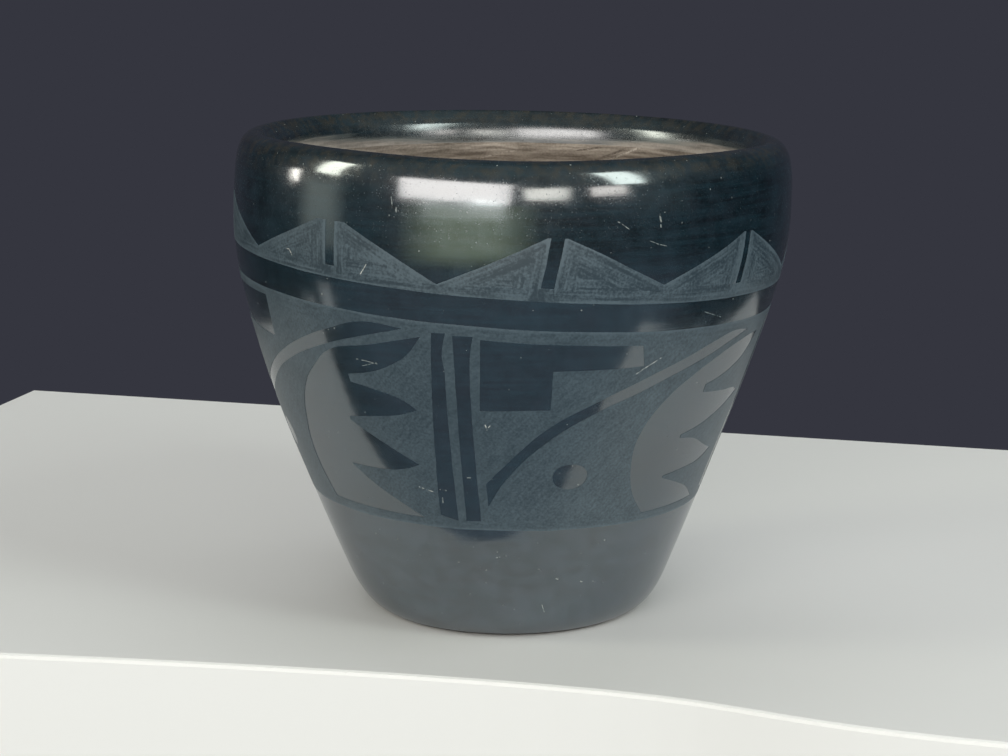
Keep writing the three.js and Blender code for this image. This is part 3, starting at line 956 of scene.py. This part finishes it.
def stone_burnished_slip():
    """Iron-rich slip rubbed with a smooth stone and fired in smoke.

    To the eye: a black mirror with a dark steel sheen, wavy from the strokes of the stone, a little
    hazy, with pale specks and scratches of wear, a brown cast where the lip is rubbed, and an uneven
    edge inside the mouth where the slip thins out to bare clay.
    """
    finish, tree = new_finish("stone_burnished_black_slip")
    spot = add(tree, "TexCoord", {}, {}).outputs["Object"]
    height = add(tree, "SeparateXYZ", {}, {0: spot}).outputs[2]

    # Strokes and facets left by the stone, clouds of smoke and grain of the slip
    stroke_size = [each(size) for size in STONE_STROKE]
    stroke_space = add(tree, "Mapping", {}, {"Vector": spot, "Scale": stroke_size})
    strokes = add(tree, "TexNoise", {}, {"Vector": stroke_space.outputs[0], "Scale": 1.0, "Detail": 3.0})
    facet_size = [each(size) for size in STONE_FACET]
    facet_space = add(tree, "Mapping", {}, {"Vector": spot, "Scale": facet_size})
    facets = add(tree, "TexNoise", {}, {"Vector": facet_space.outputs[0], "Scale": 1.0, "Detail": 1.0})
    smoke = add(tree, "TexNoise", {}, {"Vector": spot, "Scale": each(SMOKE_CLOUD), "Detail": 3.0})
    mottle = add(
        tree, "TexNoise", {},
        {"Vector": spot, "Scale": each(SLIP_MOTTLE), "Detail": 5.0, "Roughness": 0.6},
    )
    grain = add(tree, "TexNoise", {}, {"Vector": spot, "Scale": each(SLIP_GRAIN), "Detail": 2.0})

    # Colour, from the black of the slip to its wear
    cloudy = add(tree, "Mix", {}, {0: 0.5, 2: smoke.outputs["Fac"], 3: mottle.outputs["Fac"]})
    grained = add(tree, "Mix", {}, {0: 0.35, 2: cloudy.outputs[0], 3: grain.outputs["Fac"]})
    dim = add(tree, "Mix", {}, {0: 0.3, 2: grained.outputs[0], 3: strokes.outputs["Fac"]})
    tinted = add(tree, "MapRange", {}, {"Value": dim.outputs[0], "From Min": 0.39, "From Max": 0.61})
    black = add(
        tree, "Mix", {"data_type": "RGBA"},
        {0: tinted.outputs[0], 6: linear("#080e13"), 7: linear("#162b34")},
    )
    smudged = add(
        tree, "Mix", {"data_type": "RGBA"},
        {0: smudges(tree, spot, height), 6: black.outputs[2], 7: linear("#3a4552")},
    )
    worn = add(
        tree, "Mix", {"data_type": "RGBA"},
        {0: rubbed_lip(tree, spot, height), 6: smudged.outputs[2], 7: linear("#302e28")},
    )
    pit = fine_pits(tree, spot, height)
    gritty = add(
        tree, "Mix", {"data_type": "RGBA"}, {0: pit, 6: worn.outputs[2], 7: linear("#222b30")},
    )
    speck = pale_specks(tree, spot, grain.outputs["Fac"])
    scratch = marked(tree, spot, SCRATCHES, -1)
    wear = add(tree, "Math", {"operation": "MAXIMUM"}, {0: speck, 1: scratch})
    flecked = add(
        tree, "Mix", {"data_type": "RGBA"},
        {0: wear.outputs[0], 6: gritty.outputs[2], 7: linear("#8f9692")},
    )

    # Inner edge of the slip
    below = add(tree, "Attribute", {"attribute_name": "below_edge"}, {}).outputs["Fac"]
    ragged = add(
        tree, "MapRange", {}, {"Value": strokes.outputs["Fac"], "To Min": -RAGGED, "To Max": RAGGED},
    )
    depth = add(tree, "Math", {"operation": "ADD"}, {0: below, 1: ragged.outputs[0]})
    thin = add(
        tree, "MapRange", {},
        {"Value": depth.outputs[0], "From Min": THINNED[0], "From Max": THINNED[1], "To Max": 0.4},
    )
    bare = add(
        tree, "MapRange", {}, {"Value": depth.outputs[0], "From Min": ENDED[0], "From Max": ENDED[1]},
    )
    thinned = add(
        tree, "Mix", {"data_type": "RGBA"},
        {0: thin.outputs[0], 6: flecked.outputs[2], 7: linear("#6b6d66")},
    )
    clay = clay_tone(tree, spot)[0]
    colour = add(tree, "Mix", {"data_type": "RGBA"}, {0: bare.outputs[0], 6: thinned.outputs[2], 7: clay})

    # Polish: rougher in the pits, inside the mouth, where the slip thins out and where it is worn
    polish = add(tree, "Mix", {}, {0: 0.35, 2: mottle.outputs["Fac"], 3: grain.outputs["Fac"]})
    gloss = add(
        tree, "MapRange", {},
        {"Value": polish.outputs[0], "From Min": 0.35, "From Max": 0.65, "To Min": 0.09, "To Max": 0.17},
    )
    rougher = add(tree, "Mix", {}, {0: pit, 2: gloss.outputs[0], 3: 0.45})
    hazy = add(
        tree, "Math", {"operation": "MULTIPLY_ADD"}, {0: thin.outputs[0], 1: 0.3, 2: rougher.outputs[0]},
    )
    inner = add(
        tree, "MapRange", {},
        {"Value": below, "From Min": SOFTER[0], "From Max": SOFTER[1], "To Max": 0.1},
    )
    softer = add(tree, "Math", {"operation": "ADD"}, {0: hazy.outputs[0], 1: inner.outputs[0]})
    dull = add(tree, "Mix", {}, {0: wear.outputs[0], 2: softer.outputs[0], 3: 0.7})
    roughness = add(tree, "Mix", {}, {0: bare.outputs[0], 2: dull.outputs[0], 3: 0.9})

    # Relief, each over the one before: facets, strokes and pits
    reliefs = (
        (facets.outputs["Fac"], FACET_RELIEF),
        (strokes.outputs["Fac"], STROKE_RELIEF),
        (pit, PIT_RELIEF),
    )
    under = {}
    for relief, size in reliefs:
        bump = add(tree, "Bump", {}, {"Height": relief, "Strength": 1.0, "Distance": size * MM, **under})
        under = {"Normal": bump.outputs[0]}
    surface = add(
        tree, "BsdfPrincipled", {},
        {
            "Base Color": colour.outputs[2],
            "Roughness": roughness.outputs[0],
            "IOR": 2.4,
            "Specular Tint": linear("#eff5fb"),
            "Coat Weight": 0.35,
            "Coat Roughness": 0.4,
            **under,
        },
    )
    add(tree, "OutputMaterial", {}, {"Surface": surface.outputs[0]})
    return finish


def brushed_matte_slip():
    """Thin slip brushed over the burnish before firing, which stays dull in the smoke.

    To the eye: charcoal grey with a soft bloom, brush lines that follow the outlines of the figures,
    a paler first stroke along their edges and a dusty grain.
    """
    finish, tree = new_finish("brushed_matte_slip")
    spot = add(tree, "TexCoord", {}, {}).outputs["Object"]
    strokes = add(tree, "UVMap", {"uv_map": "strokes"}, {}).outputs[0]
    long, wide = [each(size) for size in BRUSH_STROKE]
    brush_space = add(tree, "Mapping", {}, {"Vector": strokes, "Scale": (long, wide, 1)})
    brush = add(tree, "TexNoise", {}, {"Vector": brush_space.outputs[0], "Scale": 1.0, "Detail": 3.0})
    cloud = add(tree, "TexNoise", {}, {"Vector": spot, "Scale": each(MATTE_CLOUD), "Detail": 3.0})
    grain = add(tree, "TexNoise", {}, {"Vector": spot, "Scale": each(MATTE_GRAIN), "Detail": 2.0})
    away = add(tree, "SeparateXYZ", {}, {0: strokes}).outputs[1]
    end, full = [place * MM for place in EDGE_STROKE]
    outline = add(
        tree, "MapRange", {}, {"Value": away, "From Min": end, "From Max": full, "To Max": 0.07},
    )
    streaky = add(tree, "Mix", {}, {0: 0.35, 2: brush.outputs["Fac"], 3: cloud.outputs["Fac"]})
    dusty = add(tree, "Mix", {}, {0: 0.2, 2: streaky.outputs[0], 3: grain.outputs["Fac"]})
    height = add(tree, "SeparateXYZ", {}, {0: spot}).outputs[2]
    faint, bold = [place * MM for place in BOLD_STROKES]
    streaks = add(
        tree, "MapRange", {},
        {"Value": height, "From Min": faint, "From Max": bold, "To Min": 0.35, "To Max": 1.0},
    )
    evened = add(tree, "Mix", {}, {0: streaks.outputs[0], 2: 0.5, 3: dusty.outputs[0]})
    dust = add(
        tree, "Math", {"operation": "MULTIPLY_ADD"}, {0: grain.outputs["Fac"], 1: 0.22, 2: -0.11},
    )
    outlined = add(tree, "Math", {"operation": "ADD"}, {0: evened.outputs[0], 1: outline.outputs[0]})
    shade = add(tree, "Math", {"operation": "ADD"}, {0: outlined.outputs[0], 1: dust.outputs[0]})
    spread = add(tree, "MapRange", {}, {"Value": shade.outputs[0], "From Min": 0.42, "From Max": 0.6})
    ground = add(
        tree, "Mix", {"data_type": "RGBA"},
        {0: spread.outputs[0], 6: linear("#2a3841"), 7: linear("#4c5b64")},
    )
    scratch = marked(tree, spot, SCRATCHES, -1)
    colour = add(
        tree, "Mix", {"data_type": "RGBA"},
        {0: scratch, 6: ground.outputs[2], 7: linear("#c3c7c2")},
    )
    tooth = add(
        tree, "Bump", {},
        {"Height": dusty.outputs[0], "Strength": 1.0, "Distance": BRUSH_RELIEF * MM},
    )
    surface = add(
        tree, "BsdfPrincipled", {},
        {"Base Color": colour.outputs[2], "Roughness": 0.42, "IOR": 1.62, "Normal": tooth.outputs[0]},
    )
    add(tree, "OutputMaterial", {}, {"Surface": surface.outputs[0]})
    return finish


def scraped_bare_clay():
    """Fired clay with fine temper, scraped on the inside while leather-hard and left bare.

    To the eye: dull grey-brown with long slanted scrape lines, a few deeper gouges darkened by painted
    shade, ridges lightened by painted highlight, and fine grains.
    """
    finish, tree = new_finish("scraped_bare_clay")
    spot = add(tree, "TexCoord", {}, {}).outputs["Object"]
    tone, relief = clay_tone(tree, spot)
    gouge = marked(tree, spot, GOUGES, 1)
    ridge_painted_highlight = marked(tree, spot, PAINTED_RIDGE_HIGHLIGHTS, 1)
    # Painted shade darkens the gouges and painted highlight lightens the ridges of scraping
    dark = add(tree, "Mix", {"data_type": "RGBA"}, {0: gouge, 6: tone, 7: linear("#847b72")})
    colour = add(tree, "Mix", {"data_type": "RGBA"}, {0: ridge_painted_highlight, 6: dark.outputs[2], 7: linear("#cfc7be")})
    dug = add(tree, "Math", {"operation": "SUBTRACT"}, {0: relief, 1: gouge})
    ridges = add(
        tree, "Bump", {}, {"Height": dug.outputs[0], "Strength": 1.0, "Distance": SCRAPE_RELIEF * MM},
    )
    surface = add(
        tree, "BsdfPrincipled", {},
        {"Base Color": colour.outputs[2], "Roughness": 0.9, "IOR": 1.45, "Normal": ridges.outputs[0]},
    )
    add(tree, "OutputMaterial", {}, {"Surface": surface.outputs[0]})
    return finish


# Stage

# Floor, in millimetres: two curves that meet as its near edge, its far corners, its depth and rounding
LEFT_EDGE = ((-360, -50), (-190, -60), (0, -87), (60, -114))
RIGHT_EDGE = ((60, -114), (90, -127.5), (110, -144), (196, -161))
EDGE_STEPS = (16, 10)
FAR_CORNERS = [(345, 196), (-249, 360)]
FLOOR_DEPTH = 50.0
FLOOR_ROUND = 1.5

# Camera: metres, millimetres of lens and sensor, and degrees below level
CAMERA_PLACE = (-0.0018, -0.7947, 0.2481)
CAMERA_LENS = 80.357
CAMERA_SENSOR = 36.0
CAMERA_DIP = 11.83

# What the lamps face, their distance from it and the steps between the panels of a glow, in metres
LAMP_AIM = (0, 0, 0.14)
LAMP_DISTANCE = 2.2
GLOW_STEP = 0.02

# Sizes of the panels that make up a glow, as shares of its width and height
GLOW_SHARES = (1.4, 1.24, 1.08, 0.92, 0.76, 0.6)

# Lamps and glows that the burnish mirrors: azimuth, elevation, width and height in degrees, then
# brightness, where 1 is white, and tint
LAMPS = (
    ("wide_lamp", -23, 12, 43, 20, 5.4, "#fff6ee"),
    ("low_wide_lamp", -19, -0.6, 32, 6, 1.1, "#f6faf4"),
    ("middle_lamp", 13, 10, 17, 10, 4.8, "#fff8ea"),
    ("right_lamp", 37.5, 10, 14, 8, 4.4, "#fff4e9"),
    ("high_right_lamp", 47, 31.5, 13, 31, 6.0, "#f4fdf2"),
    ("high_left_lamp", -79, 23.5, 12, 24, 7.0, "#fffeea"),
    ("low_left_lamp", -97, 6.5, 5, 7, 9.0, "#fff6e8"),
)
GLOWS = (
    ("low_wide_glow", -10.5, 1.9, 11, 4, 3.6, "#f6faf4"),
    ("front_glow", -17, -6.6, 38, 11.5, 1.14, "#b2c197"),
    ("left_glow", -81, -0.5, 18, 14, 1.35, "#a4aaa0"),
    ("low_left_glow", -84, -24.5, 6, 7, 1.0, "#dcdfdb"),
    ("right_glow", 59, 3, 24, 12, 0.5, "#646c6a"),
)

# Fills that it doesn't mirror: azimuth, elevation and brightness, and the width and height of each
FILLS = (
    ("front_fill", -5, 16, 1.35),
    ("side_fill", 75, 20, 1.5),
    ("top_fill", 180, 62, 1.3),
)
FILL_SIZE = (56, 50)


def pale_floor():
    """A plain pale slab whose near edge curves close in front of the jar."""
    left_steps, right_steps = EDGE_STEPS
    outline = along(*map(Vector, LEFT_EDGE), left_steps)
    outline += along(*map(Vector, RIGHT_EDGE), right_steps)[1:]
    outline += FAR_CORNERS
    bm = bmesh.new()
    top = bm.faces.new([bm.verts.new((x * MM, y * MM, 0.0)) for x, y in outline])
    lower = bmesh.ops.extrude_face_region(bm, geom=[top])["geom"]
    bmesh.ops.translate(bm, vec=(0, 0, -FLOOR_DEPTH * MM), verts=verts_in(lower))
    bmesh.ops.recalc_face_normals(bm, faces=bm.faces)
    bmesh.ops.bevel(
        bm,
        geom=bm.edges[:],
        offset=FLOOR_ROUND * MM,
        affect="EDGES",
        segments=2,
        profile=0.5,
        material=-1,
    )
    mesh = bpy.data.meshes.new("pale_floor")
    bm.to_mesh(mesh)
    bm.free()
    floor = bpy.data.objects.new("pale_floor", mesh)
    bpy.context.scene.collection.objects.link(floor)
    finish, tree = new_finish("plain_pale_paint")
    surface = add(tree, "BsdfPrincipled", {}, {"Base Color": linear("#e0e2e2"), "Roughness": 0.6})
    add(tree, "OutputMaterial", {}, {"Surface": surface.outputs[0]})
    mesh.materials.append(finish)


def soft_panel(name, azimuth, elevation, wide, high, brightness, tint, away=LAMP_DISTANCE):
    """A soft rectangular lamp that faces the shoulder and that the camera doesn't see."""
    turn = math.radians(azimuth)
    rise = math.radians(elevation)
    towards = Vector((math.sin(turn) * math.cos(rise), -math.cos(turn) * math.cos(rise), math.sin(rise)))
    lamp = bpy.data.lights.new(name, "AREA")
    lamp.shape = "RECTANGLE"
    lamp.size = 2 * away * math.tan(math.radians(wide) / 2)
    lamp.size_y = 2 * away * math.tan(math.radians(high) / 2)
    lamp.energy = brightness * math.pi * lamp.size * lamp.size_y
    lamp.color = linear(tint)[:3]
    panel = bpy.data.objects.new(name, lamp)
    panel.location = Vector(LAMP_AIM) + away * towards
    panel.rotation_euler = towards.to_track_quat("Z", "Y").to_euler()
    panel.visible_camera = False
    bpy.context.scene.collection.objects.link(panel)
    return panel


def soft_glow(name, azimuth, elevation, wide, high, brightness, tint):
    """A dim glow with a soft edge: panels of one tint, each smaller and a little nearer than the last."""
    each_one = brightness / len(GLOW_SHARES)
    for step, share in enumerate(GLOW_SHARES):
        away = LAMP_DISTANCE - GLOW_STEP * step
        soft_panel(name, azimuth, elevation, share * wide, share * high, each_one, tint, away)


def stage_lights():
    """The lamps, the glows and the fills."""
    for lamp in LAMPS:
        soft_panel(*lamp)
    for glow in GLOWS:
        soft_glow(*glow)
    for name, azimuth, elevation, brightness in FILLS:
        fill = soft_panel(name, azimuth, elevation, *FILL_SIZE, brightness, "#ffffff")
        fill.visible_glossy = False


def dim_surround():
    """A dim surround: dark at eye level, paler overhead and in front of the floor."""
    world = bpy.data.worlds.new("dim_surround")
    world.use_nodes = True
    tree = world.node_tree
    tree.nodes.clear()
    way = add(tree, "TexCoord", {}, {}).outputs["Generated"]
    y, z = add(tree, "SeparateXYZ", {}, {0: way}).outputs[1:3]
    behind = add(tree, "MapRange", {}, {"Value": y, "From Min": 0.5, "From Max": 0.85})
    upper = add(tree, "MapRange", {}, {"Value": z, "From Min": 0.15, "From Max": 0.75})
    open_front = add(
        tree, "MapRange", {}, {"Value": y, "From Min": 0.45, "From Max": -0.1, "To Min": 0.3},
    )
    high = add(tree, "Math", {"operation": "MULTIPLY"}, {0: upper.outputs[0], 1: open_front.outputs[0]})
    low = add(tree, "MapRange", {}, {"Value": z, "From Min": -0.15, "From Max": -0.5})
    ahead = add(tree, "MapRange", {}, {"Value": y, "From Min": 0.02, "From Max": -0.34})
    ground = add(tree, "Math", {"operation": "MULTIPLY"}, {0: low.outputs[0], 1: ahead.outputs[0]})
    backdrop = add(
        tree, "Mix", {"data_type": "RGBA"},
        {0: behind.outputs[0], 6: linear("#141c22"), 7: linear("#35363f")},
    )
    overhead = add(
        tree, "Mix", {"data_type": "RGBA"},
        {0: high.outputs[0], 6: backdrop.outputs[2], 7: linear("#676862")},
    )
    surround = add(
        tree, "Mix", {"data_type": "RGBA"},
        {0: ground.outputs[0], 6: overhead.outputs[2], 7: linear("#616c77")},
    )
    light = add(tree, "Background", {}, {"Color": surround.outputs[2], "Strength": 1.0})
    add(tree, "OutputWorld", {}, {"Surface": light.outputs[0]})
    bpy.context.scene.world = world


def front_camera():
    """A camera that looks slightly down at the front of the jar."""
    lens = bpy.data.cameras.new("camera")
    lens.sensor_width = CAMERA_SENSOR
    lens.lens = CAMERA_LENS
    camera = bpy.data.objects.new("camera", lens)
    camera.location = CAMERA_PLACE
    camera.rotation_euler = (math.radians(90 - CAMERA_DIP), 0, 0)
    bpy.context.scene.collection.objects.link(camera)
    bpy.context.scene.camera = camera


bare_clay = scraped_bare_clay()
matte_slip = brushed_matte_slip()

front_camera()
base_slab(bare_clay)
wall_coils(bare_clay)
rim_coil(bare_clay)
burnished_coat(stone_burnished_slip())
painted_panels(matte_slip)
painted_mountains(matte_slip)

pale_floor()
stage_lights()
dim_surround()
bpy.context.scene.view_settings.view_transform = "Standard"
